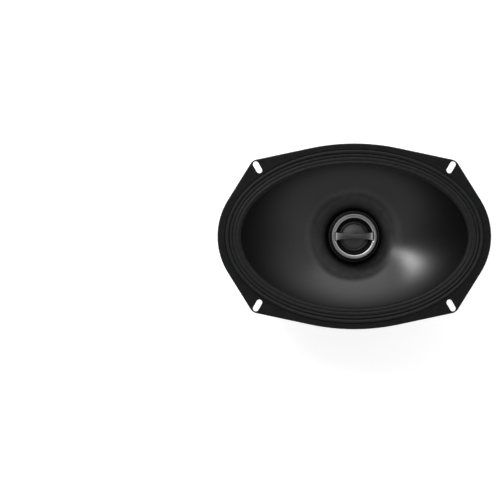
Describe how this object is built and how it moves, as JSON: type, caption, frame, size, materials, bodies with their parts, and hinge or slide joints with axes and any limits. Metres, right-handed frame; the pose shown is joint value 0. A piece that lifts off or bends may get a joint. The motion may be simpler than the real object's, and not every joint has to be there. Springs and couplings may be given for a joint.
{
  "type": "coaxial car speaker",
  "caption": "Oval two-way coaxial car speaker: pressed steel basket with corner screw slots, black cone, ribbed surround, ferrite motor and a central dome tweeter under a strap.",
  "frame": {"origin": "centre of the motor's back face", "axes": "+Z out of the front along the voice coil's axis, X along the long axis of the oval, terminals at the -X end"},
  "size_m": [0.236, 0.1604, 0.08],
  "materials": {
    "basket_paint": "satin",
    "ring_rubber": "matte",
    "surround_rubber": "matte",
    "cone_plastic": "satin",
    "spider_cloth": "matte",
    "former_tube": "satin",
    "copper_winding": "gloss",
    "plated_steel": "satin",
    "ferrite": "matte",
    "post_metal": "satin",
    "housing_plastic": "satin",
    "satin_metal": "satin",
    "brushed_strap": "satin",
    "recess_plastic": "matte",
    "nickel": "polished",
    "dome_cloth": "matte",
    "dome_roll_cloth": "matte",
    "clad_winding": "gloss",
    "terminal_plastic": "matte",
    "tin_tab": "satin",
    "tinsel_braid": "satin",
    "capacitor_sleeve": "gloss",
    "lead_sleeve": "matte",
    "wire_insulation": "satin"
  },
  "bodies": {
    "frame": {"basket": "basket_paint", "gasket_ring": "ring_rubber", "surround": "surround_rubber", "spider": "spider_cloth", "top_plate": "plated_steel", "basket_rivets": "plated_steel", "magnet": "ferrite", "back_plate": "plated_steel", "tweeter_post": "post_metal", "lock_washer": "plated_steel", "tweeter_nut": "plated_steel", "tweeter_housing": "housing_plastic", "tweeter_ring": "satin_metal", "tweeter_strap": "brushed_strap", "tweeter_faceplate": "recess_plastic", "tweeter_cup": "plated_steel", "tweeter_magnet": "nickel", "tweeter_pole_plate": "plated_steel", "tweeter_surround": "dome_roll_cloth", "terminal_board": "terminal_plastic", "terminal_tab_narrow": "tin_tab", "terminal_tab_wide": "tin_tab", "terminal_rivet": "tin_tab", "tinsel_leads": "tinsel_braid", "crossover_capacitor": "capacitor_sleeve", "capacitor_lead": "lead_sleeve", "tweeter_leads": "wire_insulation"},
    "woofer": {"cone": "cone_plastic", "coil_former": "former_tube", "voice_coil": "copper_winding"},
    "tweeter_moving": {"tweeter_dome": "dome_cloth", "tweeter_coil": "clad_winding"}
  },
  "joints": [
    {"name": "woofer_travel", "type": "slide", "parent": "frame", "child": "woofer", "axis": [0, 0, 1], "range_m": [-0.005, 0.005], "stiffness_N_per_m": 4500, "deforming": ["surround", "spider", "tinsel_leads"]},
    {"name": "tweeter_travel", "type": "slide", "parent": "frame", "child": "tweeter_moving", "axis": [0, 0, 1], "range_m": [-0.0003, 0.0003], "stiffness_N_per_m": 200, "deforming": ["tweeter_surround"]}
  ]
}
